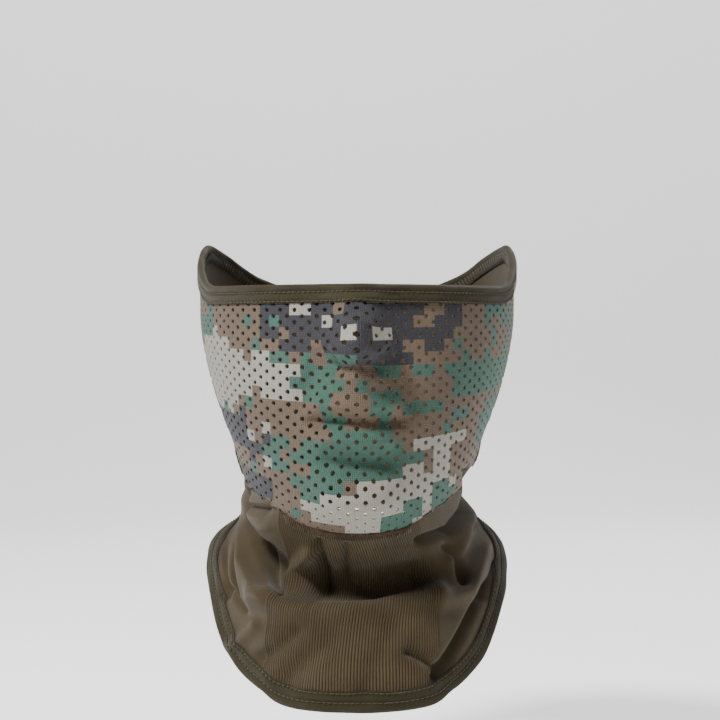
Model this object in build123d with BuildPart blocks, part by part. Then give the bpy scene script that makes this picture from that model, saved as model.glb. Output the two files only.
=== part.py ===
"""Camouflage half-face mask with an attached neck gaiter, in the shape it takes when worn.

Frame, in millimetres: the origin is midway between the wearer's ear canals, +Z is up, and the
wearer faces -Y. The mask is thin cloth all over, so one surface, the worn form, carries every
piece. It runs through rings round the head and neck that tilt forward more and more going down.
Each cloth panel, tape and thread is a thin skin between two offsets of that surface, cut out by
its seams. The seams round the head are side-view curves, and the two under the chin are
front-view curves.
"""

import os
from dataclasses import astuple, dataclass
from functools import cache
from math import asin, cos, exp, hypot, pi, sin

from build123d import *

# Cloth, tape and thread sizes.
CLOTH = 1.4  # wall of the mesh, jersey and rib panels
TAPE = 0.8  # one layer of a folded binding tape
TOP_TAPE_WIDTH = 9.0  # one leg of the tape round the head opening
HEM_TAPE_WIDTH = 10.5  # one leg of the tape round the neck opening
TOP_FOLD = 3.2  # from the fold of the top tape down to the cloth's raw edge, with elastic between
HEM_FOLD = 1.0  # from the fold of the hem tape up to the cloth's raw edge
ELASTIC_RADIUS = 0.5  # elastic cord in the fold of the top tape
THREAD_RADIUS = 0.3
THREAD_LIFT = 0.4  # from a surface to the middle of a thread lying on it
TOP_ROWS = (3.9, 8.3)  # rows of stitching, from the fold of the top tape down
HEM_ROWS = (5.0, 9.4)  # rows of stitching, from the fold of the hem tape up
SEAM_ROWS = (-1.5, 1.5)  # threads of an overlocked seam on the inside, from the seam line
CHIN_ROWS = (0.6, 2.1, 3.6)  # threads of the flat covering stitch, down from the chin seam
CHIN_TURNS = (-0.58, 0.43)  # where they start and end, in radians round from the front

# The worn form.
NOSE_WIDTH = 13.0  # distance from the middle at which the nose has fallen to 1/e of its height
ROWS_PER_GAP = 1  # rows of surface points from one ring to the next
COLUMNS = 14  # columns of surface points over half a ring
STEPS = 2  # points of a seam or an edge from one of its listed points to the next
REACH = 160.0  # further than any part of the mask is from the origin


@dataclass
class Ring:
    """One ring of the worn form: the side view of its ends, and its size across."""

    front_y: float
    front_z: float
    back_y: float
    back_z: float
    half_width: float
    nose: float = 0.0  # how far the nose lifts the front off the plain ring


RINGS = [
    Ring(-93, 48, 88, 48, 79.5),
    Ring(-94, 3, 93, 5, 79.5, nose=8),
    Ring(-100, -24, 92, -14, 78.5, nose=17),
    Ring(-104, -56, 88, -34, 72.5, nose=3),
    Ring(-102, -90, 80, -56, 63),
    Ring(-92, -109, 74, -72, 58),
    Ring(-78, -121, 71, -84, 58.5),
    Ring(-68, -135, 71, -95, 65),
    Ring(-84, -151, 73, -105, 74.5),
    Ring(-94, -172, 76, -118, 76.5),
    Ring(-93, -197, 79, -134, 77),
    Ring(-92, -222, 81, -156, 77),
]

# Edges and seams, each from one side to the other: (y, z) in the side view.
TOP_EDGE = [(-REACH, 3), (-60, 3.5), (-36, 5.5), (-20, 12), (-5, 19), (10, 25), (22, 27.5),
            (45, 23), (70, 12), (95, 5), (REACH, 4)]
HEM_EDGE = [(-REACH, -197), (-92, -195), (-75, -187), (-60, -176), (-45, -163), (-30, -150),
            (-10, -137), (15, -125), (45, -117), (85, -112), (REACH, -112)]
JAW_SEAM = [(-REACH, -116), (-93, -113), (-75, -103), (-60, -96.5), (-40, -91), (-22, -83),
            (-12, -70), (-6, -52), (-1, -35), (5, -15), (9, 3), (11, 20), (12, 60)]
# The seams beside the chin panel: (x, z) from the front, on the wearer's right and left.
RIB_SEAM_RIGHT = [(-36, -80), (-36, -105), (-34, -132), (-43, -155), (-46, -178), (-44, -230)]
RIB_SEAM_LEFT = [(27, -80), (28, -105), (36, -130), (38, -150), (39, -175), (39, -230)]


def eased(a, b, c, d, t):
    """Goes smoothly from b to c as t goes from 0 to 1, heeding the values before and after."""
    return b + t * (c - a + t * (2 * a - 5 * b + 4 * c - d + t * (3 * b - 3 * c + d - a))) / 2


def curved(points, t):
    """The listed points as one smooth curve, t points along from the first."""
    i = min(int(t), len(points) - 2)
    around = [points[min(max(k, 0), len(points) - 1)] for k in range(i - 1, i + 3)]
    return tuple(eased(*values, t - i) for values in zip(*around))


def drawn(points):
    """The curve through the listed points, in short steps."""
    return [curved(points, i / STEPS) for i in range(STEPS * (len(points) - 1) + 1)]


def moved_down(curve, distance):
    """The same side-view curve, further down."""
    return [(y, z - distance) for y, z in curve]


def moved_across(curve, distance):
    """The same curve, moved square to itself, to its left on the way from start to end."""
    moved = []
    for i, (u, v) in enumerate(curve):
        u0, v0 = curve[max(i - 1, 0)]
        u1, v1 = curve[min(i + 1, len(curve) - 1)]
        length = hypot(u1 - u0, v1 - v0)
        moved.append((u - distance * (v1 - v0) / length, v + distance * (u1 - u0) / length))
    return moved


def solve(error, low, high):
    """Where error changes sign between low and high."""
    rising = error(high) > error(low)
    for _ in range(26):
        middle = (low + high) / 2
        if (error(middle) > 0) == rising:
            high = middle
        else:
            low = middle
    return (low + high) / 2


def ring_at(level):
    """The ring at a level, counted down from the first of RINGS."""
    return Ring(*curved([astuple(ring) for ring in RINGS], level))


def worn_point(turn, level):
    """A point of the worn form. turn is 0 at the front and pi at the back."""
    ring = ring_at(level)
    x = ring.half_width * sin(turn)
    y = cos(turn) * (ring.front_y if cos(turn) > 0 else -ring.back_y)
    if cos(turn) > 0:
        y -= ring.nose * exp(-((x / NOSE_WIDTH) ** 2))
    slope = (ring.back_z - ring.front_z) / (ring.back_y - ring.front_y)
    return Vector(x, y, ring.front_z + slope * (y - ring.front_y))


def outward(turn, level):
    """The worn form's unit normal."""
    step = 0.001
    above, below = max(level - step, 0), min(level + step, len(RINGS) - 1)
    across = worn_point(turn + step, level) - worn_point(turn - step, level)
    down = worn_point(turn, below) - worn_point(turn, above)
    return down.cross(across).normalized()


def lifted(turn, level, out):
    """The point out from the worn form."""
    return worn_point(turn, level) + outward(turn, level) * out


@cache
def worn_form(out):
    """The solid inside the worn form, grown outward by out."""
    grid = []
    for i in range(ROWS_PER_GAP * (len(RINGS) - 1) + 1):
        row = [lifted(pi * j / COLUMNS, i / ROWS_PER_GAP, out) for j in range(COLUMNS + 1)]
        row[0].X = row[-1].X = 0
        grid.append(row)
    half_surface = Face.make_surface_from_array_of_points(grid, tol=0.1, min_deg=3, max_deg=3)
    with BuildPart() as form:
        extrude(to_extrude=half_surface, amount=REACH, dir=(-1, 0, 0))
        split(bisect_by=Plane.YZ)
        mirror(about=Plane.YZ)
    return form.part


def layer(inner, outer, region):
    """The skin between two offsets of the worn form, as far as a region reaches."""
    with BuildPart() as skin:
        add(worn_form(outer))
        add(region, mode=Mode.INTERSECT)
        add(worn_form(inner), mode=Mode.SUBTRACT)
    return skin.part


def side_region(upper, lower):
    """Everything between two side-view curves."""
    with BuildPart() as region:
        with BuildSketch(Plane.YZ):
            with BuildLine():
                top = Spline(upper)
                bottom = Spline(lower)
                Line(top @ 0, bottom @ 0)
                Line(top @ 1, bottom @ 1)
            make_face()
        extrude(amount=REACH, both=True)
    return region.part


def front_region(right, left):
    """Everything in front of the ears between two front-view curves."""
    with BuildPart() as region:
        with BuildSketch(Plane.XZ):
            with BuildLine():
                first = Spline(right)
                second = Spline(left)
                Line(first @ 0, second @ 0)
                Line(first @ 1, second @ 1)
            make_face()
        extrude(amount=REACH)
    return region.part


def face_region():
    """Everything in front of and above the jaw seam."""
    with BuildPart() as region:
        with BuildSketch(Plane.YZ):
            with BuildLine():
                seam = Spline(JAW_SEAM)
                Polyline(seam @ 1, (-REACH, 60), seam @ 0)
            make_face()
        extrude(amount=REACH, both=True)
    return region.part


def half_space(side):
    """Everything on one side of the middle: -1 is the wearer's right, 1 the left."""
    with BuildPart() as region:
        with Locations((side * REACH / 2, 0, -REACH / 2)):
            Box(REACH, 2 * REACH, 3 * REACH)
    return region.part


def edge_height(edge, y):
    """The height of a side-view edge at y."""
    t = solve(lambda t: curved(edge, t)[0] - y, 0, len(edge) - 1)
    return curved(edge, t)[1]


def level_at(turn, edge, down, out):
    """The level at which the form, grown by out, passes an edge moved down."""

    def error(level):
        point = lifted(turn, level, out)
        return point.Z - edge_height(edge, point.Y) + down

    return solve(error, 0, len(RINGS) - 1)


def edge_path(edge, down, out, first_turn, last_turn):
    """Points on the grown form along an edge moved down, from one turn to another."""
    turns = [first_turn + (last_turn - first_turn) * j / COLUMNS for j in range(COLUMNS + 1)]
    return [lifted(turn, level_at(turn, edge, down, out), out) for turn in turns]


def point_at(v, turn_at, out):
    """The point of the grown form at height v, on the line that turn_at(level) follows."""
    level = solve(lambda level: worn_point(turn_at(level), level).Z - v, 0, len(RINGS) - 1)
    return lifted(turn_at(level), level, out)


def jaw_path(across, out, side):
    """Points along the jaw seam, moved across it, on one side of the head."""
    points = []
    for y, z in moved_across(drawn(JAW_SEAM), across):

        def turn_at(level):
            return solve(lambda turn: worn_point(turn, level).Y - y, 0, pi)

        point = point_at(z, turn_at, out)
        points.append(Vector(side * point.X, point.Y, point.Z))
    return points


def front_path(seam, across, out):
    """Points along a front-view seam, moved across it."""
    points = []
    for x, z in moved_across(drawn(seam), across):

        def turn_at(level):
            return asin(x / ring_at(level).half_width)

        points.append(point_at(z, turn_at, out))
    return points


def back_point(x, level, out):
    """The point of the grown form beside the middle of the back."""
    return lifted(pi - asin(x / ring_at(level).half_width), level, out)


def cord(points, radius):
    """A round cord through the points."""
    with BuildPart() as strand:
        with BuildLine():
            route = Spline(points)
        with BuildSketch(Plane(origin=route @ 0, z_dir=route % 0)):
            Circle(radius)
        sweep()
    return strand.part


def ring_cords(edge, rows, out, radius):
    """Round cords that follow an edge all the way round the mask, each as two halves."""
    halves = []
    for down in rows:
        half = cord(edge_path(edge, down, out, 0, pi), radius)
        halves += [half, half.mirror(Plane.YZ)]
    return halves


def save_group(solids, name):
    """Writes a sub-part that is a group of separate solids."""
    export_step(Compound(label=name, children=solids), f"parts/{name}.step")


os.makedirs("parts", exist_ok=True)

whole = side_region(moved_down(TOP_EDGE, TOP_FOLD), moved_down(HEM_EDGE, -HEM_FOLD))
face_side = face_region()
chin_side = front_region(RIB_SEAM_RIGHT, RIB_SEAM_LEFT)
sides = {"right": half_space(-1), "left": half_space(1)}
cloth = layer(-CLOTH, 0, whole)

# Cloth panels.
with BuildPart() as face_mesh_panel:
    add(cloth)
    add(face_side, mode=Mode.INTERSECT)
face_mesh_panel.part.label = "face_mesh_panel"
export_step(face_mesh_panel.part, "parts/face_mesh_panel.step")

with BuildPart() as rib_front_panel:
    add(cloth)
    add(chin_side, mode=Mode.INTERSECT)
    add(face_side, mode=Mode.SUBTRACT)
rib_front_panel.part.label = "rib_front_panel"
export_step(rib_front_panel.part, "parts/rib_front_panel.step")

for side, space in sides.items():
    with BuildPart() as side_panel:
        add(cloth)
        add(space, mode=Mode.INTERSECT)
        add(chin_side, mode=Mode.SUBTRACT)
        add(face_side, mode=Mode.SUBTRACT)
    side_panel.part.label = f"{side}_side_panel"
    export_step(side_panel.part, f"parts/{side}_side_panel.step")

# Binding tapes, folded over the two raw edges.
top_fold = side_region(TOP_EDGE, moved_down(TOP_EDGE, TOP_TAPE_WIDTH))
top_pocket = side_region(moved_down(TOP_EDGE, TAPE), moved_down(TOP_EDGE, REACH / 4))
inside_top_fold = layer(-CLOTH, 0, top_pocket)
with BuildPart() as top_binding:
    add(layer(-CLOTH - TAPE, TAPE, top_fold))
    add(inside_top_fold, mode=Mode.SUBTRACT)
top_binding.part.label = "top_binding"
export_step(top_binding.part, "parts/top_binding.step")

hem_fold = side_region(moved_down(HEM_EDGE, -HEM_TAPE_WIDTH), HEM_EDGE)
hem_pocket = side_region(moved_down(HEM_EDGE, -REACH / 4), moved_down(HEM_EDGE, -HEM_FOLD))
inside_hem_fold = layer(-CLOTH, 0, hem_pocket)
with BuildPart() as hem_binding:
    add(layer(-CLOTH - TAPE, TAPE, hem_fold))
    add(inside_hem_fold, mode=Mode.SUBTRACT)
hem_binding.part.label = "hem_binding"
export_step(hem_binding.part, "parts/hem_binding.step")

# Elastic cord lying in the upper fold, above the cloth's raw edge.
elastic_row = (TAPE + TOP_FOLD) / 2
save_group(ring_cords(TOP_EDGE, [elastic_row], -CLOTH / 2, ELASTIC_RADIUS), "top_edge_elastic")

# Twin-needle stitching: rows of needle thread outside, and of looper thread inside.
outside = TAPE + THREAD_LIFT
inside = -CLOTH - TAPE - THREAD_LIFT
hem_rows = [-up for up in HEM_ROWS]
save_group(ring_cords(TOP_EDGE, TOP_ROWS, outside, THREAD_RADIUS), "top_needle_threads")
save_group(ring_cords(TOP_EDGE, TOP_ROWS, inside, THREAD_RADIUS), "top_looper_thread")
save_group(ring_cords(HEM_EDGE, hem_rows, outside, THREAD_RADIUS), "hem_needle_threads")
save_group(ring_cords(HEM_EDGE, hem_rows, inside, THREAD_RADIUS), "hem_looper_thread")

# Seam threads. The chin seam is covered outside and inside, and the others inside only.
behind = -CLOTH - THREAD_LIFT
chin_threads = [
    cord(edge_path(JAW_SEAM, down, out, *CHIN_TURNS), THREAD_RADIUS)
    for down in CHIN_ROWS
    for out in (THREAD_LIFT, behind)
]
save_group(chin_threads, "chin_seam_thread")

for name, side in (("right_jaw_seam_thread", -1), ("left_jaw_seam_thread", 1)):
    paths = [jaw_path(across, behind, side) for across in SEAM_ROWS]
    trimmed = [[p for p in path if abs(p.X) > 37 and p.Z < 10] for path in paths]
    save_group([cord(path, THREAD_RADIUS) for path in trimmed], name)

rib_seams = {"right_rib_seam_thread": RIB_SEAM_RIGHT, "left_rib_seam_thread": RIB_SEAM_LEFT}
for name, seam in rib_seams.items():
    paths = [front_path(seam, across, behind) for across in SEAM_ROWS]
    trimmed = [[p for p in path if -174 < p.Z < -114] for path in paths]
    save_group([cord(path, THREAD_RADIUS) for path in trimmed], name)

paths = [[back_point(across, 2 + i / 2, behind) for i in range(13)] for across in SEAM_ROWS]
save_group([cord(path, THREAD_RADIUS) for path in paths], "back_seam_thread")
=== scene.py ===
"""Looks of the camouflage half-face mask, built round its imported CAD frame.

The cloth is worked out in millimetres on the same worn form as the CAD model, and turned into
metres when a mesh is made. A place on the form is a turn, 0 at the front and pi at the back, and
a level, counted down the rings. Heights of edges and seams are read along side-view curves.
"""

import math

import bpy
import numpy as np
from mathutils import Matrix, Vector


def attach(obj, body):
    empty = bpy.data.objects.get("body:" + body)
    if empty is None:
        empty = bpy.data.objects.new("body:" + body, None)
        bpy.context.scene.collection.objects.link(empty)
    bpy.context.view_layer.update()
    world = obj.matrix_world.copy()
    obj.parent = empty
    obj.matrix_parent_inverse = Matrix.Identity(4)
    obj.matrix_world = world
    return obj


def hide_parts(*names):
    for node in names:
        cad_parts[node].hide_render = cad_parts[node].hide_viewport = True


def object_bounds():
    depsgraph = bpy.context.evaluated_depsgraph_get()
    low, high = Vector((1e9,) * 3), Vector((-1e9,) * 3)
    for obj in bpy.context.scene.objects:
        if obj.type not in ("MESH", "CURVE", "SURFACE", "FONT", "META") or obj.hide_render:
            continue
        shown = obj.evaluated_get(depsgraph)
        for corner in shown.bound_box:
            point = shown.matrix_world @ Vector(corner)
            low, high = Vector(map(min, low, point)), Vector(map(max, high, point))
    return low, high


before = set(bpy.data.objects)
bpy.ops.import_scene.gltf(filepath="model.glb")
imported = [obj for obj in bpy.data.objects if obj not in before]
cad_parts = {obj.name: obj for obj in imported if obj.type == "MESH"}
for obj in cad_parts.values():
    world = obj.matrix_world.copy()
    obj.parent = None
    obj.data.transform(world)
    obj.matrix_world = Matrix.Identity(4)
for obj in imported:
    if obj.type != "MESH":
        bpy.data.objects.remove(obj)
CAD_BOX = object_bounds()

MM = 0.001

# ---------------------------------------------------------------- worn form, as in the CAD model
CLOTH = 1.4
TAPE = 0.8
TOP_TAPE_WIDTH = 9.0
HEM_TAPE_WIDTH = 10.5
TOP_FOLD = 3.2
HEM_FOLD = 1.0
TOP_ROWS = (3.9, 8.3)
HEM_ROWS = (5.0, 9.4)
NOSE_WIDTH = 13.0
# Each ring: front y and z, back y and z, half-width, and how far the nose lifts the front.
RINGS = np.array([
    (-93, 48, 88, 48, 79.5, 0), (-94, 3, 93, 5, 79.5, 8), (-100, -24, 92, -14, 78.5, 17),
    (-104, -56, 88, -34, 72.5, 3), (-102, -90, 80, -56, 63, 0), (-92, -109, 74, -72, 58, 0),
    (-78, -121, 71, -84, 58.5, 0), (-68, -135, 71, -95, 65, 0), (-84, -151, 73, -105, 74.5, 0),
    (-94, -172, 76, -118, 76.5, 0), (-93, -197, 79, -134, 77, 0), (-92, -222, 81, -156, 77, 0),
], float)
TOP_EDGE = [(-160, 3), (-60, 3.5), (-36, 5.5), (-20, 12), (-5, 19), (10, 25), (22, 27.5),
            (45, 23), (70, 12), (95, 5), (160, 4)]
HEM_EDGE = [(-160, -197), (-92, -195), (-75, -187), (-60, -176), (-45, -163), (-30, -150),
            (-10, -137), (15, -125), (45, -117), (85, -112), (160, -112)]
JAW_SEAM = [(-160, -116), (-93, -113), (-75, -103), (-60, -96.5), (-40, -91), (-22, -83),
            (-12, -70), (-6, -52), (-1, -35), (5, -15), (9, 3), (11, 20), (12, 60)]
RIB_SEAM_RIGHT = [(-36, -80), (-36, -105), (-34, -132), (-43, -155), (-46, -178), (-44, -230)]
RIB_SEAM_LEFT = [(27, -80), (28, -105), (36, -130), (38, -150), (39, -175), (39, -230)]


def smooth_table(points, t):
    """Catmull-Rom through the listed points, t points along from the first."""
    points = np.asarray(points, float)
    t = np.clip(np.asarray(t, float), 0, len(points) - 1.0001)
    i = t.astype(int)
    a, b, c, d = (points[np.clip(i + k, 0, len(points) - 1)] for k in (-1, 0, 1, 2))
    s = (t - i)[..., None]
    return b + s * (c - a + s * (2 * a - 5 * b + 4 * c - d + s * (3 * b - 3 * c + d - a))) / 2


def read_curve(points, u):
    """The second coordinate of a listed curve where its first is u."""
    dense = smooth_table(points, np.linspace(0, len(points) - 1, 40 * len(points)))
    order = np.argsort(dense[:, 0])
    return np.interp(u, dense[order, 0], dense[order, 1])


def plain_point(turn, level):
    """Points of the worn form without its folds, as an array of x, y, z."""
    yf, zf, yb, zb, half, nose = np.moveaxis(smooth_table(RINGS, level), -1, 0)
    cos = np.cos(turn)
    x = half * np.sin(turn)
    y = np.where(cos > 0, yf, -yb) * cos
    y = y - np.where(cos > 0, nose * np.exp(-((x / NOSE_WIDTH) ** 2)), 0)
    return np.stack([x, y, zf + (zb - zf) / (yb - yf) * (y - yf)], -1)


def outward(turn, level):
    """Unit normals of the worn form."""
    e = 0.004
    across = plain_point(turn + e, level) - plain_point(turn - e, level)
    down = plain_point(turn, level + e) - plain_point(turn, level - e)
    normal = np.cross(down, across)
    return normal / np.linalg.norm(normal, axis=-1, keepdims=True)


# Folds seen from the front: a line of (x, z) points, its width, and how far it lifts the cloth.
FOLDS = [
    ([(-16, -138), (8, -138), (28, -134)], 6.0, -7.0),
    ([(-50, -146), (-27, -150), (-5, -149.5), (20, -146), (39, -142)], 4.5, 3.4),
    ([(-18.5, -118), (-15, -134)], 2.4, -4.2),
    ([(-21, -122), (-31, -135), (-43, -146)], 3.8, 3.6),
    ([(-33, -180), (-15, -163)], 6.0, -3.2),
    ([(24, -167), (38, -175)], 2.4, -2.8),
    ([(-5, -119), (-5, -133)], 2.0, -2.2),
    ([(-57, -101), (-43, -111)], 7.0, 4.2),
    ([(-54, -97), (-54, -113), (-51, -121), (-36, -142)], 2.2, -5.6),
    ([(-53, -103), (-42, -103)], 1.9, -2.8),
    ([(-46, -123), (-37, -131)], 4.4, -4.4),
    ([(-63, -108), (-59, -130), (-48, -144)], 4.0, 3.6),
    ([(-63, -114), (-62, -142)], 1.6, -2.6),
    ([(-69, -120), (-68, -147)], 1.6, -2.2),
    ([(-56, -150), (-66, -142)], 2.4, -2.2),
    ([(55, -87), (57, -98), (54, -107), (45, -115), (30, -118)], 2.4, -5.4),
    ([(63, -106), (46, -129)], 5.0, 4.2),
    ([(69, -120), (56, -142), (40, -146)], 4.0, 3.6),
    ([(66, -141), (55, -158), (38, -180)], 2.8, -4.4),
    ([(72, -131), (66, -147)], 1.8, -2.4),
    ([(44, -123), (53, -137)], 2.6, -3.6),
    ([(58, -116), (66, -112)], 1.8, -2.2),
    ([(-28, -158), (-46, -172)], 3.6, -2.4),
    ([(-50, -158), (-60, -168)], 3.0, 2.0),
    ([(4, -184), (16, -158)], 6.0, -2.0),
]
# The nose, lips and chin that the cloth is drawn over, given in the same way.
FACE_RELIEF = [
    ([(0, -17), (0, -23)], 8.0, 3.2), ([(-12, -25), (-9, -28)], 4.0, 2.2),
    ([(9, -28), (12, -25)], 4.0, 2.2), ([(-11, -35), (11, -35)], 3.8, -3.2),
    ([(-16, -52), (16, -52)], 4.2, 2.6), ([(-21, -60), (21, -60)], 2.4, -2.4),
    ([(-13, -68), (13, -68)], 4.2, 2.8), ([(-13, -79), (13, -79)], 5.0, -3.0),
    ([(-9, -95), (9, -95)], 11.0, 3.2), ([(-15, -30), (-27, -52)], 5.0, -2.2),
    ([(15, -30), (27, -52)], 5.0, -2.2),
]
# Soft folds round the back of the neck: height at the middle of the back, width and lift.
BACK_FOLDS = [(-62, 5.0, -2.4), (-74, 6.0, 1.8), (-86, 4.5, -2.6), (-97, 5.0, 1.6)]


def distance_to_line(p, line):
    """Distance from points p to a polyline, both in a plane."""
    best = np.full(p.shape[:-1], 1e9)
    for a, b in zip(np.array(line[:-1], float), np.array(line[1:], float)):
        along = np.clip(((p - a) @ (b - a)) / ((b - a) @ (b - a)), 0, 1)
        best = np.minimum(best, np.linalg.norm(p - a - along[..., None] * (b - a), axis=-1))
    return best


RELIEF = 1.3  # how strongly the folds and the face's shapes stand out
FRONT_LIMIT = -8.0  # the front folds fade out past this y
DRAWN_IN = 4.5  # how far the sides are drawn in above the hem
DRAWN_HEIGHT = 16.0  # and how high above it they are drawn in most
DRAWN_FROM = 46.0  # and how far out from the middle that begins
SLACK_BELOW = -96.0  # below this height the cloth is slack and ripples


def folds(turn, level):
    """How far the folds lift the cloth off the plain form."""
    point = plain_point(turn, level)
    x, y, z = np.moveaxis(point, -1, 0)
    front = 1 / (1 + np.exp((y - FRONT_LIMIT) / 6))
    flat = np.stack([x, z], -1)
    lift = np.zeros_like(x)
    for line, width, height in FOLDS + FACE_RELIEF:
        lift += front * RELIEF * height * np.exp(-((distance_to_line(flat, line) / width) ** 2))
    # The cloth is drawn in above the hem at the sides, so the hem stands out.
    rise = np.clip(z - read_curve(HEM_EDGE, y), 0, 200) / DRAWN_HEIGHT
    lift -= DRAWN_IN * rise * np.exp(1 - rise) / (1 + np.exp((DRAWN_FROM - np.abs(x)) / 6))
    for height, width, out in BACK_FOLDS:
        wave = 3.0 * np.sin(3.1 * turn + height) + 0.16 * np.abs(x)
        lift += (1 - front) * out * np.exp(-(((z - height + wave) / width) ** 2))
    slack = 1 / (1 + np.exp((z - SLACK_BELOW) / 6))
    lift += slack * 0.5 * np.sin(x / 7.0 + z / 19.0) * np.sin(z / 9.0 - x / 31.0)
    return lift


def cloth_point(turn, level, out=0.0):
    """Points of the folded cloth, out from its face."""
    turn, level = np.broadcast_arrays(np.asarray(turn, float), np.asarray(level, float))
    lift = folds(turn, level) + out
    return plain_point(turn, level) + outward(turn, level) * lift[..., None]


LEVELS = np.linspace(0, len(RINGS) - 1.001, 500)


def level_of_edge(turn, edge, down=0.0):
    """The level at which each turn meets a side-view curve moved down."""
    turn = np.atleast_1d(turn)
    grid = plain_point(turn[:, None], LEVELS[None, :])
    above = grid[..., 2] - read_curve(edge, grid[..., 1]) + down
    first = np.argmax(above < 0, axis=1).clip(1)
    rows = np.arange(len(turn))
    a, b = above[rows, first - 1], above[rows, first]
    return LEVELS[first - 1] + (LEVELS[1] - LEVELS[0]) * a / (a - b)


def turn_of_seam(level, seam):
    """The turn at which each level meets a front-view curve."""
    half = smooth_table(RINGS, level)[..., 4]
    x = np.full(np.shape(level), float(seam[0][0]))
    swapped = sorted((z, x0) for x0, z in seam)
    for _ in range(6):
        z = plain_point(np.arcsin(x / half), level)[..., 2]
        x = read_curve(swapped, z)
    return np.arcsin(x / half)


# ---------------------------------------------------------------- meshes
def make_mesh(name, points, faces, material, nodes, uv=None):
    """A smooth mesh object from points in millimetres, in place of those CAD nodes."""
    mesh = bpy.data.meshes.new(name)
    mesh.from_pydata((np.asarray(points) * MM).tolist(), [], faces)
    mesh.validate()
    if uv is not None:
        layer = mesh.uv_layers.new(name="flat_cut")
        index = np.empty(len(mesh.loops), int)
        mesh.loops.foreach_get("vertex_index", index)
        layer.data.foreach_set("uv", np.asarray(uv, float)[index].ravel())
    mesh.polygons.foreach_set("use_smooth", [True] * len(mesh.polygons))
    mesh.materials.append(material)
    piece = bpy.data.objects.new(name, mesh)
    bpy.context.collection.objects.link(piece)
    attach(piece, "root")
    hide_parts(*nodes)
    return piece


def grid_faces(rows, columns, wrap=False):
    """Quads of a grid of points stored row by row."""
    across = columns if wrap else columns - 1
    return [
        (r * columns + c, (r + 1) * columns + c,
         (r + 1) * columns + (c + 1) % columns, r * columns + (c + 1) % columns)
        for r in range(rows - 1) for c in range(across)
    ]


def closed_faces(rows, columns):
    """Quads of an outer and an inner grid of points, joined round their rim."""
    outer = grid_faces(rows, columns)
    count = rows * columns
    inner = [tuple(count + corner for corner in reversed(quad)) for quad in outer]
    rim = [r * columns for r in range(rows)]
    rim += [(rows - 1) * columns + c for c in range(1, columns)]
    rim += [r * columns + columns - 1 for r in range(rows - 2, -1, -1)]
    rim += list(range(columns - 2, 0, -1))
    joined = [(b, a, a + count, b + count) for a, b in zip(rim, rim[1:] + rim[:1])]
    return outer + inner + joined


def thicken(piece, thickness):
    """Gives a sheet its thickness, inward from its face."""
    solid = piece.modifiers.new("thickness", "SOLIDIFY")
    solid.thickness = thickness * MM
    solid.offset = -1


# ---------------------------------------------------------------- materials
def linear(red, green, blue):
    """An sRGB colour from 0 to 255 as linear values."""
    values = [c / 255 for c in (red, green, blue)]
    return (*[v / 12.92 if v <= 0.04045 else ((v + 0.055) / 1.055) ** 2.4 for v in values], 1)


class Nodes:
    """Short ways to add nodes to a material."""

    def __init__(self, name, roughness=0.9, sheen=0.1, specular=0.12):
        self.material = bpy.data.materials.new(name)
        self.material.use_nodes = True
        self.tree = self.material.node_tree
        self.shader = self.tree.nodes["Principled BSDF"]
        self.shader.inputs["Roughness"].default_value = roughness
        self.shader.inputs["Sheen Weight"].default_value = sheen
        self.shader.inputs["Sheen Roughness"].default_value = 0.5
        self.shader.inputs["Specular IOR Level"].default_value = specular

    def add(self, kind, **settings):
        node = self.tree.nodes.new(kind)
        for key, value in settings.items():
            setattr(node, key, value)
        return node

    def link(self, value, socket):
        if isinstance(value, bpy.types.NodeSocket):
            self.tree.links.new(value, socket)
        else:
            socket.default_value = value

    def math(self, operation, a, b=0.0):
        node = self.add("ShaderNodeMath", operation=operation)
        self.link(a, node.inputs[0])
        self.link(b, node.inputs[1])
        return node.outputs[0]

    def vector(self, operation, a, b=(0, 0, 0), c=(0, 0, 0)):
        node = self.add("ShaderNodeVectorMath", operation=operation)
        self.link(a, node.inputs[0])
        self.link(b, node.inputs[1])
        if operation == "MULTIPLY_ADD":
            self.link(c, node.inputs[2])
        return node.outputs["Value" if operation == "LENGTH" else "Vector"]

    def mix(self, factor, a, b):
        node = self.add("ShaderNodeMix", data_type="RGBA")
        self.link(factor, node.inputs["Factor"])
        self.link(a, node.inputs["A"])
        self.link(b, node.inputs["B"])
        return node.outputs["Result"]

    def noise(self, vector, scale, detail=2.0):
        node = self.add("ShaderNodeTexNoise")
        self.link(vector, node.inputs["Vector"])
        node.inputs["Scale"].default_value = scale
        node.inputs["Detail"].default_value = detail
        return node.outputs["Fac"]

    def flat(self):
        """Flat-cut coordinates, in millimetres."""
        return self.add("ShaderNodeUVMap", uv_map="flat_cut").outputs["UV"]

    def place(self):
        """Places on the object, in metres."""
        return self.add("ShaderNodeTexCoord").outputs["Object"]

    def knit(self, flat, wales, courses):
        """Height of a jersey knit, with V-shaped stitches of that size in millimetres."""
        split = self.add("ShaderNodeSeparateXYZ")
        self.link(flat, split.inputs[0])
        across = self.math("MULTIPLY", split.outputs[0], math.pi / wales)
        lean = self.math("ABSOLUTE", self.math("SINE", across))
        down = self.math("MULTIPLY", split.outputs[1], 2 * math.pi / courses)
        stitch = self.math("SINE", self.math("ADD", down, self.math("MULTIPLY", lean, 2.2)))
        return self.math("ADD", lean, self.math("MULTIPLY", stitch, 0.35))

    def finish(self, colour, height, strength, distance):
        self.link(colour, self.shader.inputs["Base Color"])
        bump = self.add("ShaderNodeBump")
        bump.inputs["Strength"].default_value = strength
        bump.inputs["Distance"].default_value = distance * MM
        self.link(height, bump.inputs["Height"])
        self.link(bump.outputs[0], self.shader.inputs["Normal"])
        return self.material


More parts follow.
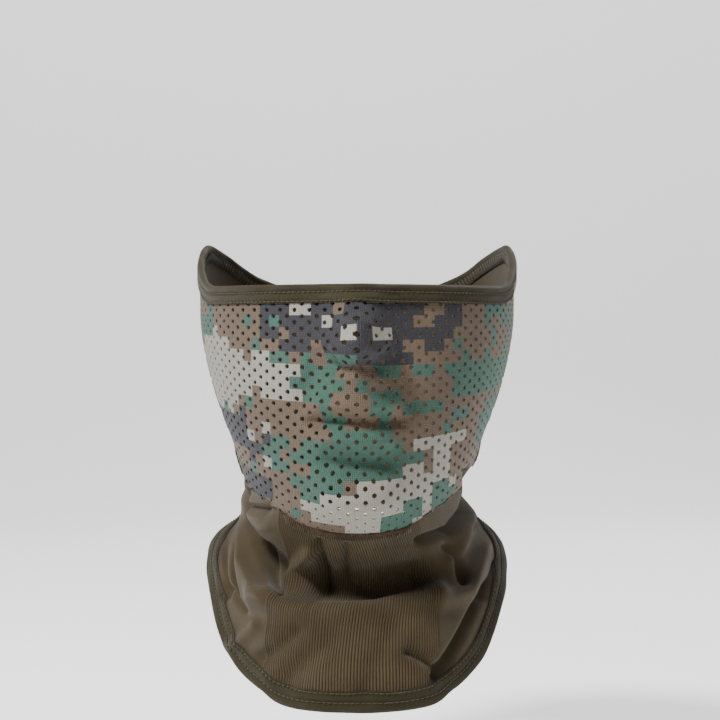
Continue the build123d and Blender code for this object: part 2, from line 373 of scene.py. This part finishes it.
def mottled(nodes, colour, light, dark):
    """A yarn colour with uneven dye, brushed fibre and fine flecks."""
    place = nodes.place()
    patches = nodes.noise(place, 60.0, 3.0)
    flecks = nodes.noise(place, 2600.0, 2.0)
    ramp = nodes.add("ShaderNodeMapRange")
    nodes.link(nodes.math("ADD", nodes.math("MULTIPLY", patches, 0.6),
                          nodes.math("MULTIPLY", flecks, 0.4)), ramp.inputs["Value"])
    ramp.inputs["From Min"].default_value = 0.32
    ramp.inputs["From Max"].default_value = 0.68
    shade = nodes.mix(ramp.outputs[0], dark, light)
    return nodes.mix(0.55, shade, colour)


def knit_material(name, rgb, wales, courses, strength):
    """A plain knit in one colour, with painted shade in the hollows between its stitches."""
    nodes = Nodes(name, roughness=0.92, sheen=0.12)
    colour = linear(*rgb)
    light = linear(*(min(255, c * 1.22) for c in rgb))
    dark = linear(*(c * 0.72 for c in rgb))
    height = nodes.knit(nodes.flat(), wales, courses)
    fuzz = nodes.noise(nodes.place(), 1500.0, 3.0)
    both = nodes.math("ADD", height, nodes.math("MULTIPLY", fuzz, 0.9))
    shade = mottled(nodes, colour, light, dark)
    # Painted shade: the colour is darkened towards the dark tone where the knit is low, in the
    # hollows between stitches.
    painted_hollow_shade = nodes.math("SUBTRACT", 1.0, nodes.math("MULTIPLY", height, 0.5))
    shade = nodes.mix(nodes.math("MULTIPLY", painted_hollow_shade, 0.35), shade, dark)
    return nodes.finish(shade, both, strength, 0.22)


FACE_RADIUS = 86.0  # a turn times this is the distance round the flat-cut face at its top


def profile_level(v):
    """The level at a distance down the middle of the face, from the nose bridge."""
    levels = np.linspace(0, 8, 400)
    points = plain_point(np.full(400, 0.35), levels)
    run = np.concatenate([[0], np.cumsum(np.linalg.norm(np.diff(points, axis=0), axis=1))])
    start = np.interp(-3.0, -points[:, 2], run)
    return np.interp(v + start, run, levels)


def half_width(v):
    """Half the worn form's width at a distance down the middle of the face."""
    level = profile_level(v)
    return np.abs(plain_point(np.full(np.shape(level), math.pi / 2), level)[..., 0])


def face_turn(u, v):
    """The turn of a place on the flat-cut face: u across it and v down it."""
    return u * half_width(np.zeros(np.shape(v))) / (FACE_RADIUS * half_width(v))


PIXEL = 5.8  # side of a camouflage square
# Patches of each colour: x and z of the middle from the front, half-width and half-height.
CREAM = [
    (-64.5, -37, 12, 19), (-36, -40, 18, 11.5), (37.5, -70, 14, 5.5), (42, -77, 5, 4),
    (25, -83.5, 4, 4), (31.5, -89, 15, 8.5), (8.5, -100, 30, 12), (-43, -64, 4, 4),
    (-48, -68, 3.5, 3.5), (-43, -77, 3.5, 3.5),
]
GREEN = [
    (-19, -43, 12, 8), (-47.5, -25, 3.5, 3.5), (-35.5, -30.6, 3.5, 3.5), (-40, -16, 3.5, 3.5),
    (-23.7, -31, 3.5, 3.5), (-11, -33.4, 4, 3.5), (-3.3, -31, 3.5, 3.5), (3.7, -43.6, 4, 4),
    (-10.7, -59, 4, 3.5), (4.2, -65, 3.5, 3.5), (18, -38, 5, 4), (31.6, -37.6, 5, 4),
    (17, -49, 4, 4), (11, -54, 3.5, 3.5), (24, -54, 3.5, 3.5), (37.3, -53.3, 4, 3.5),
    (48.5, -58, 4, 4), (41.8, -63, 3.5, 3.5), (57.5, -39, 17, 10.5), (67.5, -61, 8, 13),
    (-1, -76.6, 27, 10.5), (-19, -90, 14, 4.5), (17, -108, 8, 5), (25.6, -101, 4, 4),
    (40, -95, 6, 5.5), (-36, -70, 3.5, 3.5), (-40, -74, 3.5, 3.5), (-35.5, -81, 3.5, 3.5),
    (-70.5, -4, 4, 4), (-74, -15, 4, 5), (67, -7, 4.5, 5), (73, -12, 4, 5), (77, 10, 4, 9),
]
BLACK = [
    (-24, -15, 22, 11), (8, -20, 34, 13), (36, -14, 15, 9), (16, -29, 14, 5),
    (-52, -69, 12, 12), (-47, -91, 8.5, 6.5), (-77, -50, 4, 9),
]
SPECKS_ON_BLACK = [(-26.5, -8), (-12.5, -13.4), (-2.3, -19.4), (11.6, -18.5)]
BROWN_ON_BLACK = [(37.3, -8.8), (31.7, -14.4), (26, -24), (-48, -64), (-56, -76), (-33, -20)]
CUT_ACROSS = np.linspace(-130, 130, 261)
CUT_DOWN = np.linspace(-40, 130, 171)


def front_view():
    """What the front view shows of the flat-cut face: the place of each point of a grid."""
    u, v = np.meshgrid(CUT_ACROSS, CUT_DOWN)
    turn = np.clip(face_turn(u.ravel(), v.ravel()), -1.75, 1.75)
    return plain_point(turn, profile_level(v.ravel())).reshape(*u.shape, 3)


FRONT_VIEW = front_view()


def on_cut(x, z):
    """The place on the flat-cut face that the front view shows at x and z."""
    away = np.hypot(FRONT_VIEW[..., 0] - x, FRONT_VIEW[..., 2] - z)
    row, column = np.unravel_index(np.argmin(away), away.shape)
    return CUT_ACROSS[column], 3.0 - CUT_DOWN[row]


def camo_material():
    """Perforated sports mesh printed with blocky woodland camouflage, with painted shade in the
    knit's hollows.
    """
    nodes = Nodes("camo_mesh", roughness=0.6, sheen=0.05, specular=0.35)
    flat = nodes.flat()
    squares = nodes.vector("SNAP", flat, (PIXEL, PIXEL, PIXEL))
    middle = nodes.vector("ADD", squares, (PIXEL / 2, PIXEL / 2, 0))
    random_square = nodes.add("ShaderNodeTexWhiteNoise", noise_dimensions="2D")
    nodes.link(squares, random_square.inputs["Vector"])
    jitter = nodes.math("MULTIPLY", random_square.outputs["Value"], 0.5)

    def covered(patches, rough):
        nearest = 9.0
        for x, z, half_across, half_high in patches:
            left, right = on_cut(x - half_across, z)[0], on_cut(x + half_across, z)[0]
            low, high = on_cut(x, z - half_high)[1], on_cut(x, z + half_high)[1]
            scale = (2 / max(3.0, right - left), 2 / max(3.0, high - low), 0)
            shift = (-(left + right) / 2 * scale[0], -(low + high) / 2 * scale[1], 0)
            away = nodes.vector("LENGTH", nodes.vector("MULTIPLY_ADD", middle, scale, shift))
            nearest = away if nearest == 9.0 else nodes.math("MINIMUM", nearest, away)
        edge = nodes.math("ADD", nearest, nodes.math("MULTIPLY", jitter, rough))
        return nodes.math("LESS_THAN", edge, 1.0 + rough * 0.25)

    tone = nodes.noise(nodes.place(), 35.0, 2.0)
    brown = nodes.mix(tone, linear(76, 61, 47), linear(99, 82, 65))
    cream = nodes.mix(tone, linear(122, 118, 109), linear(153, 149, 139))
    green = nodes.mix(tone, linear(38, 72, 61), linear(54, 90, 77))
    black = nodes.mix(tone, linear(22, 22, 29), linear(37, 36, 44))
    loose = nodes.add("ShaderNodeTexWhiteNoise", noise_dimensions="2D")
    nodes.link(nodes.vector("ADD", squares, (517.0, 91.0, 0)), loose.inputs["Vector"])
    colour = nodes.mix(nodes.math("GREATER_THAN", loose.outputs["Value"], 0.95), brown, green)
    colour = nodes.mix(covered(BLACK, 0.5), colour, black)
    colour = nodes.mix(covered(CREAM, 0.6), colour, cream)
    colour = nodes.mix(covered(GREEN, 0.6), colour, green)
    colour = nodes.mix(covered([(*p, 4, 4) for p in SPECKS_ON_BLACK], 0.0), colour, cream)
    colour = nodes.mix(covered([(*p, 4, 4) for p in BROWN_ON_BLACK], 0.0), colour, brown)
    height = nodes.knit(flat, 0.9, 0.8)
    rough = nodes.noise(nodes.place(), 1700.0, 2.0)
    # Painted shade: the printed colour is darkened towards near-black where the knit is low, in the
    # hollows between the yarns.
    dark = nodes.mix(0.55, colour, (0.02, 0.018, 0.015, 1))
    yarn = nodes.math("MULTIPLY", nodes.math("SUBTRACT", 1.1, height), 0.28)
    colour = nodes.mix(yarn, colour, dark)
    return nodes.finish(colour, nodes.math("ADD", height, rough), 0.85, 0.25)


def rib_material():
    """Rib knit: painted shade between the wales, with courses of small loops up each one."""
    nodes = Nodes("rib_knit", roughness=0.95, sheen=0.08)
    flat = nodes.flat()
    split = nodes.add("ShaderNodeSeparateXYZ")
    nodes.link(flat, split.inputs[0])
    wave = nodes.math("MULTIPLY", split.outputs[0], math.pi / RIB_PITCH)
    crest = nodes.math("ABSOLUTE", nodes.math("SINE", wave))
    shade = mottled(nodes, linear(68, 57, 39), linear(86, 73, 51), linear(46, 38, 25))
    # Painted shade: the colour goes to near-black in the grooves between the ribs and keeps the
    # yarn colour on their crests.
    shade = nodes.mix(nodes.math("POWER", crest, 0.7), linear(20, 17, 11), shade)
    loops = nodes.math("SINE", nodes.math("MULTIPLY", split.outputs[1], 2 * math.pi / 0.8))
    fuzz = nodes.noise(nodes.place(), 1900.0, 3.0)
    height = nodes.math("ADD", nodes.math("MULTIPLY", loops, 0.4), fuzz)
    return nodes.finish(shade, height, 0.6, 0.2)


def thread_material(name, rgb):
    """Twisted sewing thread."""
    nodes = Nodes(name, roughness=0.6, sheen=0.2)
    place = nodes.place()
    twist = nodes.add("ShaderNodeTexWave", bands_direction="DIAGONAL")
    nodes.link(place, twist.inputs["Vector"])
    twist.inputs["Scale"].default_value = 900.0
    shade = nodes.mix(nodes.noise(place, 900.0), linear(*(c * 0.75 for c in rgb)), linear(*rgb))
    return nodes.finish(shade, twist.outputs["Fac"], 0.5, 0.1)


RIB_PITCH = 1.33
MESH = camo_material()
RIB = rib_material()
JERSEY = knit_material("olive_jersey", (63, 53, 36), 0.75, 0.6, 0.45)
TOP_TAPE = knit_material("olive_tape", (48, 42, 25), 0.8, 0.65, 0.6)
HEM_TAPE = knit_material("hem_tape", (46, 41, 25), 0.8, 0.65, 0.5)
THREAD = thread_material("thread", (66, 59, 39))
SEAM_THREAD = thread_material("seam_thread", (98, 76, 50))
ELASTIC = thread_material("elastic", (205, 201, 188))


# ---------------------------------------------------------------- face panel
CELL = 8.0  # the holes stand this far apart along a row
ROW = 3.0  # and the rows this far
HOLE = (1.12, 1.24)  # half-width and half-height of a hole
CELL_EDGE = [(-4, -1.5), (-2, -1.5), (0, -1.5), (2, -1.5), (4, -1.5), (4, 0),
             (4, 1.5), (2, 1.5), (0, 1.5), (-2, 1.5), (-4, 1.5), (-4, 0)]
CORNERS = len(CELL_EDGE)
RIM = 1.22  # size of the rim round a hole, as a share of the hole
SMALL_FROM = 98.0  # distance down the cut at which the holes begin to close up
MESH_THICKNESS = 0.9


def face_panel():
    """The mesh panel as one sheet of staggered cells, each with its hole."""
    reach = FACE_RADIUS * 1.75
    rings = [np.array(CELL_EDGE, float)]
    angles = [math.atan2(v * HOLE[0], u * HOLE[1]) for u, v in CELL_EDGE]
    hole = np.array([(HOLE[0] * math.cos(a), HOLE[1] * math.sin(a)) for a in angles])
    rings.append(hole * RIM)
    rings.append(hole)
    cells = []
    for row in range(-12, 48):
        shift = CELL / 2 if row % 2 else 0.0
        for column in range(-int(reach / CELL) - 1, int(reach / CELL) + 2):
            cells.append((column * CELL + shift, row * ROW))
    cells = np.array(cells)
    # The holes close up towards the chin, where the cloth is gathered into its seam.
    small = 1 - 0.5 * np.clip((cells[:, 1] - SMALL_FROM) / 14, 0, 1)
    sizes = [np.ones_like(small), small, small]
    flat = np.concatenate([cells[:, None, :] + ring[None] * size[:, None, None]
                           for ring, size in zip(rings, sizes)], axis=1)
    flat = flat.reshape(-1, 2)
    turn = face_turn(flat[:, 0], flat[:, 1])
    wanted = profile_level(flat[:, 1])
    turns = np.linspace(-1.8, 1.8, 721)
    top = np.interp(turn, turns, level_of_edge(turns, TOP_EDGE, TOP_FOLD))
    bottom = np.interp(turn, turns, level_of_edge(turns, JAW_SEAM))
    level = np.clip(wanted, top, np.maximum(top, bottom))
    outside = (wanted < top) | (wanted > bottom)
    keys, index = np.unique(np.round(np.stack([flat[:, 0], level * 400], 1), 2),
                            axis=0, return_inverse=True)
    first = np.zeros(len(keys), int)
    first[index] = np.arange(len(index))
    faces = []
    for cell in range(len(cells)):
        base = cell * len(rings) * CORNERS
        if outside[base:base + len(rings) * CORNERS].all():
            continue
        for ring in (0, CORNERS):
            for k in range(CORNERS):
                a, b = base + ring + k, base + ring + (k + 1) % CORNERS
                quad = [int(index[i]) for i in (a, a + CORNERS, b + CORNERS, b)]
                quad = list(dict.fromkeys(quad))
                if len(quad) > 2:
                    faces.append(quad)
    points = cloth_point(turn[first], level[first])
    uv = np.stack([flat[first, 0], -flat[first, 1] + 3.0], 1)
    panel = make_mesh("mesh_panel", points, faces, MESH,
                      ("face_mesh_panel",), uv=uv)
    thicken(panel, MESH_THICKNESS)
    return panel


# ---------------------------------------------------------------- neck panels
def span_panel(name, turn_ends, level_ends, columns, rows, material, node, relief=None):
    """A cloth panel between two turns and two levels, each a function of the other."""
    s = np.linspace(0, 1, rows)[:, None] * np.ones(columns)[None, :]
    a = np.ones(rows)[:, None] * np.linspace(0, 1, columns)[None, :]
    level = np.full(s.shape, 5.0)
    turn = np.zeros(s.shape)
    for _ in range(5):
        first, last = turn_ends(level)
        turn = first + (last - first) * a
        upper, lower = level_ends(turn)
        level = upper + (lower - upper) * s
    middle = cloth_point(turn, level)
    step = np.linalg.norm(np.diff(middle, axis=1), axis=-1).mean(0)
    drop = np.linalg.norm(np.diff(middle, axis=0), axis=-1)
    u = np.concatenate([[0], np.cumsum(step)])[None, :] * np.ones(rows)[:, None]
    v = np.concatenate([np.zeros((1, columns)), np.cumsum(drop, axis=0)])
    raised = np.zeros(s.shape) if relief is None else relief(u, v)
    normal = outward(turn, level)
    outer = (middle + normal * raised[..., None]).reshape(-1, 3)
    inner = (middle - normal * CLOTH).reshape(-1, 3)
    uv = np.stack([u, -v], -1).reshape(-1, 2)
    return make_mesh(name, np.concatenate([outer, inner]), closed_faces(rows, columns), material,
                     (node,), uv=np.concatenate([uv, uv]))


SEAM_OVERLAP = 0.02  # how far, in radians, the side panels reach under the rib panel
TURNS = np.linspace(-math.pi, math.pi, 1441)
JAW_LEVELS = level_of_edge(TURNS, JAW_SEAM)
TOP_LEVELS = level_of_edge(TURNS, TOP_EDGE, TOP_FOLD)
HEM_LEVELS = level_of_edge(TURNS, HEM_EDGE, -HEM_FOLD)
SEAM_LEVELS = np.linspace(4, 11, 200)
RIB_RIGHT = turn_of_seam(SEAM_LEVELS, RIB_SEAM_RIGHT)
RIB_LEFT = turn_of_seam(SEAM_LEVELS, RIB_SEAM_LEFT)


def neck_levels(turn):
    """Upper and lower level of the neck panels at each turn."""
    past_ear = TOP_LEVELS > JAW_LEVELS
    upper = np.where(past_ear | (np.abs(TURNS) > 1.75), TOP_LEVELS, JAW_LEVELS)
    return np.interp(turn, TURNS, upper), np.interp(turn, TURNS, HEM_LEVELS)


def rib_ends(level):
    return np.interp(level, SEAM_LEVELS, RIB_RIGHT), np.interp(level, SEAM_LEVELS, RIB_LEFT)


def rib_panel():
    """The ribbed panel under the chin, with every rib raised."""
    def ribs(u, v):
        return 0.08 + 0.5 * np.abs(np.sin(math.pi * u / RIB_PITCH)) ** 0.8
    return span_panel("rib_panel", rib_ends, neck_levels, 520, 190, RIB,
                      "rib_front_panel", relief=ribs)


def side_panel(side):
    """A plain knit panel from the rib panel round to the middle of the back."""
    def ends(level):
        right, left = rib_ends(level)
        start = left if side > 0 else right
        return start - side * SEAM_OVERLAP, np.full(np.shape(level), side * math.pi)
    word = "left" if side > 0 else "right"
    return span_panel(f"{word}_panel", ends, neck_levels, 300, 190, JERSEY,
                      f"{word}_side_panel")


# ---------------------------------------------------------------- bindings
def tape_section(width, thickness):
    """A folded tape's section: how far out and how far from the fold, outside to inside."""
    outer = thickness + 0.25
    inner = -CLOTH - thickness - 0.25
    middle, radius = (outer + inner) / 2, (outer - inner) / 2
    down_outer = [(outer - 0.55, width), (outer - 0.1, width - 0.15)]
    down_outer += [(outer, width - 0.6 - i * (width - radius - 0.6) / 14) for i in range(15)]
    fold = [(middle + radius * math.cos(a), radius * (1 - math.sin(a)))
            for a in np.linspace(0.2, math.pi - 0.2, 9)]
    up_inner = [(inner, radius + i * (width - radius - 0.6) / 8) for i in range(9)]
    up_inner += [(inner + 0.1, width - 0.15), (inner + 0.55, width)]
    return down_outer + fold + up_inner


def binding(name, edge, sign, width, rows, material, node):
    """A folded tape all the way round an edge, drawn in along its rows of stitching."""
    section = tape_section(width, TAPE)
    count = 900
    turns = np.linspace(-math.pi, math.pi, count, endpoint=False)
    run = FACE_RADIUS * turns
    points, uv = [], []
    for number, (out, down) in enumerate(section):
        pull = sum(math.exp(-(((down - row) / 0.75) ** 2)) for row in rows)
        pucker = 0.10 * np.sin(2 * math.pi * run / 2.6) * math.exp(-(((down - rows[1]) / 2.2) ** 2))
        swell = 0.18 * math.sin(math.pi * min(1, down / rows[0])) * np.ones(count)
        ripple = 0.12 * np.sin(run / 5.3 + 1.3 * np.sin(run / 17)) + 0.08 * np.sin(run / 2.9 + down)
        side = 1 if out > -CLOTH / 2 else -1
        reach = out + side * (swell + ripple + pucker - 0.45 * pull)
        level = level_of_edge(turns, edge, sign * down)
        points.append(cloth_point(turns, level) + outward(turns, level) * reach[:, None])
        uv.append(np.stack([run, np.full(count, number * 0.8)], 1))
    points, uv = np.concatenate(points), np.concatenate(uv)
    return make_mesh(name, points, grid_faces(len(section), count, wrap=True), material,
                     (node,), uv=uv)


def edge_line(edge, down, out, count=2400):
    """Closely spaced points round an edge, with the cloth's normal at each."""
    turns = np.linspace(-math.pi, math.pi, count)
    level = level_of_edge(turns, edge, down)
    return cloth_point(turns, level, out), outward(turns, level)


def along(points, normals, distances):
    """Points and normals at distances along a line."""
    run = np.concatenate([[0], np.cumsum(np.linalg.norm(np.diff(points, axis=0), axis=1))])
    at = np.stack([np.interp(distances, run, points[:, k]) for k in range(3)], 1)
    up = np.stack([np.interp(distances, run, normals[:, k]) for k in range(3)], 1)
    return at, up, run[-1]


def stitches(name, lines, material, node, pitch=2.6, length=2.1, radius=0.3):
    """Rows of lockstitch: each stitch is a rounded bead that dips into the cloth at its ends."""
    sides, rings = 8, 7
    points, faces = [], []
    for path, normals in lines:
        total = along(path, normals, [0.0])[2]
        for number in range(int(total / pitch)):
            start = number * pitch
            where = start + length * np.linspace(0, 1, rings)
            middle, up, _ = along(path, normals, where)
            ahead = np.gradient(middle, axis=0)
            ahead /= np.linalg.norm(ahead, axis=1, keepdims=True)
            across = np.cross(ahead, up)
            base = len(points)
            for k in range(rings):
                t = k / (rings - 1)
                bulge = math.sin(math.pi * (0.08 + 0.84 * t)) ** 0.6
                centre = middle[k] + up[k] * radius * (1.5 * math.sin(math.pi * t) - 0.5)
                for j in range(sides):
                    a = 2 * math.pi * j / sides
                    points.append(centre + radius * bulge * (across[k] * math.cos(a)
                                                             + up[k] * math.sin(a)))
            for k in range(rings - 1):
                for j in range(sides):
                    a, b = base + k * sides + j, base + k * sides + (j + 1) % sides
                    faces.append((a, b, b + sides, a + sides))
            faces.append(tuple(base + j for j in range(sides))[::-1])
            faces.append(tuple(base + (rings - 1) * sides + j for j in range(sides)))
    return make_mesh(name, points, faces, material, (node,))


def zigzag(name, lines, half_width, pitch, radius, material, node):
    """Overedge or covering thread: it runs to and fro across each line, on the surface."""
    curve = bpy.data.curves.new(name, "CURVE")
    curve.dimensions = "3D"
    curve.bevel_depth = radius * MM
    curve.bevel_resolution = 2
    for path, normals in lines:
        total = along(path, normals, [0.0])[2]
        count = int(2 * total / pitch)
        middle, up, _ = along(path, normals, np.arange(count + 1) * pitch / 2)
        ahead = np.gradient(middle, axis=0)
        across = np.cross(ahead, up)
        across /= np.linalg.norm(across, axis=1, keepdims=True)
        sign = np.where(np.arange(count + 1) % 2, 1, -1)[:, None]
        places = middle + across * sign * half_width
        spline = curve.splines.new("POLY")
        spline.points.add(len(places) - 1)
        spline.points.foreach_set("co", np.c_[places * MM, np.ones(len(places))].ravel())
    curve.materials.append(material)
    piece = bpy.data.objects.new(name, curve)
    bpy.context.collection.objects.link(piece)
    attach(piece, "root")
    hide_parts(node)
    return piece


def seam_line(turn, level, out):
    """A line on the cloth through turns and levels, with its normals."""
    return cloth_point(turn, level, out), outward(turn, level)


# ---------------------------------------------------------------- build
panel = face_panel()
rib = rib_panel()
right_panel = side_panel(-1)
left_panel = side_panel(1)
top_tape = binding("top_tape", TOP_EDGE, 1, TOP_TAPE_WIDTH, TOP_ROWS, TOP_TAPE,
                   "top_binding")
hem_tape = binding("hem_tape", HEM_EDGE, -1, HEM_TAPE_WIDTH, HEM_ROWS, HEM_TAPE,
                   "hem_binding")

OUTSIDE = TAPE + 0.15
INSIDE = -CLOTH - TAPE - 0.2
stitches("top_needle_stitches", [edge_line(TOP_EDGE, row, OUTSIDE) for row in TOP_ROWS],
         THREAD, "top_needle_threads")
stitches("hem_needle_stitches", [edge_line(HEM_EDGE, -row, OUTSIDE) for row in HEM_ROWS],
         THREAD, "hem_needle_threads")
for word, edge, sign, rows in (("top", TOP_EDGE, 1, TOP_ROWS), ("hem", HEM_EDGE, -1, HEM_ROWS)):
    middle = (rows[0] + rows[1]) / 2
    zigzag(f"{word}_looper_stitches", [edge_line(edge, sign * middle, INSIDE)],
           (rows[1] - rows[0]) / 2, 2.6, 0.2, THREAD, f"{word}_looper_thread")
zigzag("fold_elastic", [edge_line(TOP_EDGE, 2.0, -CLOTH / 2)], 0.05, 4.0, 0.45, ELASTIC,
       "top_edge_elastic")

# The chin seam's flat covering stitch, outside.
chin_turns = np.linspace(-0.60, 0.45, 300)
chin_levels = level_of_edge(chin_turns, JAW_SEAM, 2.6)
zigzag("chin_cover_stitch", [seam_line(chin_turns, chin_levels, 0.7)], 2.5, 1.15, 0.3,
       SEAM_THREAD, "chin_seam_thread")

for side, word in ((-1, "right"), (1, "left")):
    turns = side * np.linspace(0.66, 1.66, 400)
    levels = level_of_edge(turns, JAW_SEAM)
    limit = level_of_edge(turns, TOP_EDGE, TOP_TAPE_WIDTH + 1)
    keep = levels > limit
    zigzag(f"{word}_jaw_stitches", [seam_line(turns[keep], levels[keep], -CLOTH - 0.3)], 2.0,
           2.2, 0.2, THREAD, f"{word}_jaw_seam_thread")
    rib_turns = RIB_RIGHT if side < 0 else RIB_LEFT
    upper, lower = neck_levels(rib_turns)
    keep = (SEAM_LEVELS > upper + 0.2) & (SEAM_LEVELS < lower - 0.45)
    zigzag(f"{word}_rib_stitches",
           [seam_line(rib_turns[keep], SEAM_LEVELS[keep], -CLOTH - 0.3)], 2.0, 2.2, 0.2,
           THREAD, f"{word}_rib_seam_thread")

back_levels = np.linspace(1.8, 8.2, 300)
zigzag("back_stitches", [seam_line(np.full(300, math.pi), back_levels, -CLOTH - 0.3)], 2.0, 2.2,
       0.2, THREAD, "back_seam_thread")

# ---------------------------------------------------------------- floor, light and camera
FLOOR_GAP = 0.05  # the mask is held by the head, clear of the floor
FLOOR = CAD_BOX[0][2] - FLOOR_GAP


def backdrop():
    """A pale floor that curves up into a wall."""
    profile = [(-4.0, FLOOR), (1.6, FLOOR)]
    profile += [(1.6 + 0.8 * math.sin(a), FLOOR + 0.8 * (1 - math.cos(a)))
                for a in np.linspace(0.1, math.pi / 2, 12)]
    profile.append((2.4, 4.0))
    points = [(x, y, z) for y, z in profile for x in (-5.0, 5.0)]
    mesh = bpy.data.meshes.new("floor")
    mesh.from_pydata(points, [], grid_faces(len(profile), 2))
    mesh.polygons.foreach_set("use_smooth", [True] * len(mesh.polygons))
    material = bpy.data.materials.new("pale_floor")
    material.use_nodes = True
    shader = material.node_tree.nodes["Principled BSDF"]
    shader.inputs["Base Color"].default_value = (0.92, 0.92, 0.92, 1)
    shader.inputs["Roughness"].default_value = 0.95
    shader.inputs["Emission Color"].default_value = (1, 1, 1, 1)
    shader.inputs["Emission Strength"].default_value = 0.5
    mesh.materials.append(material)
    floor = bpy.data.objects.new("floor", mesh)
    bpy.context.collection.objects.link(floor)


def soft_light(name, place, size, power):
    """An area light that faces the mask."""
    data = bpy.data.lights.new(name, "AREA")
    data.shape = "DISK"
    data.size = size
    data.energy = power
    light = bpy.data.objects.new(name, data)
    light.location = place
    target = np.array((0, 0, -0.08)) - np.array(place)
    light.rotation_euler = (
        math.acos(-target[2] / np.linalg.norm(target)), 0,
        math.atan2(target[1], target[0]) - math.pi / 2,
    )
    light.visible_camera = False
    bpy.context.collection.objects.link(light)


backdrop()
soft_light("key", (-0.85, -0.8, 1.3), 0.4, 60)
soft_light("fill", (1.3, -0.9, 0.5), 1.0, 5)
soft_light("top", (0.0, -0.2, 1.6), 0.9, 12)
soft_light("rim", (0.6, 1.3, 0.9), 1.0, 10)

world = bpy.data.worlds.new("studio")
world.use_nodes = True
world.node_tree.nodes["Background"].inputs["Color"].default_value = (1, 1, 1, 1)
world.node_tree.nodes["Background"].inputs["Strength"].default_value = 0.16
bpy.context.scene.world = world

CAMERA_PLACE = (0.0015, -1.0, -0.032)  # level with the mask, one metre in front of it
LENS, SENSOR = 98.35, 36

camera_data = bpy.data.cameras.new("camera")
camera_data.lens = LENS
camera_data.sensor_width = SENSOR
camera = bpy.data.objects.new("camera", camera_data)
camera.location = CAMERA_PLACE
camera.rotation_euler = (math.pi / 2, 0, 0)
bpy.context.collection.objects.link(camera)
bpy.context.scene.camera = camera
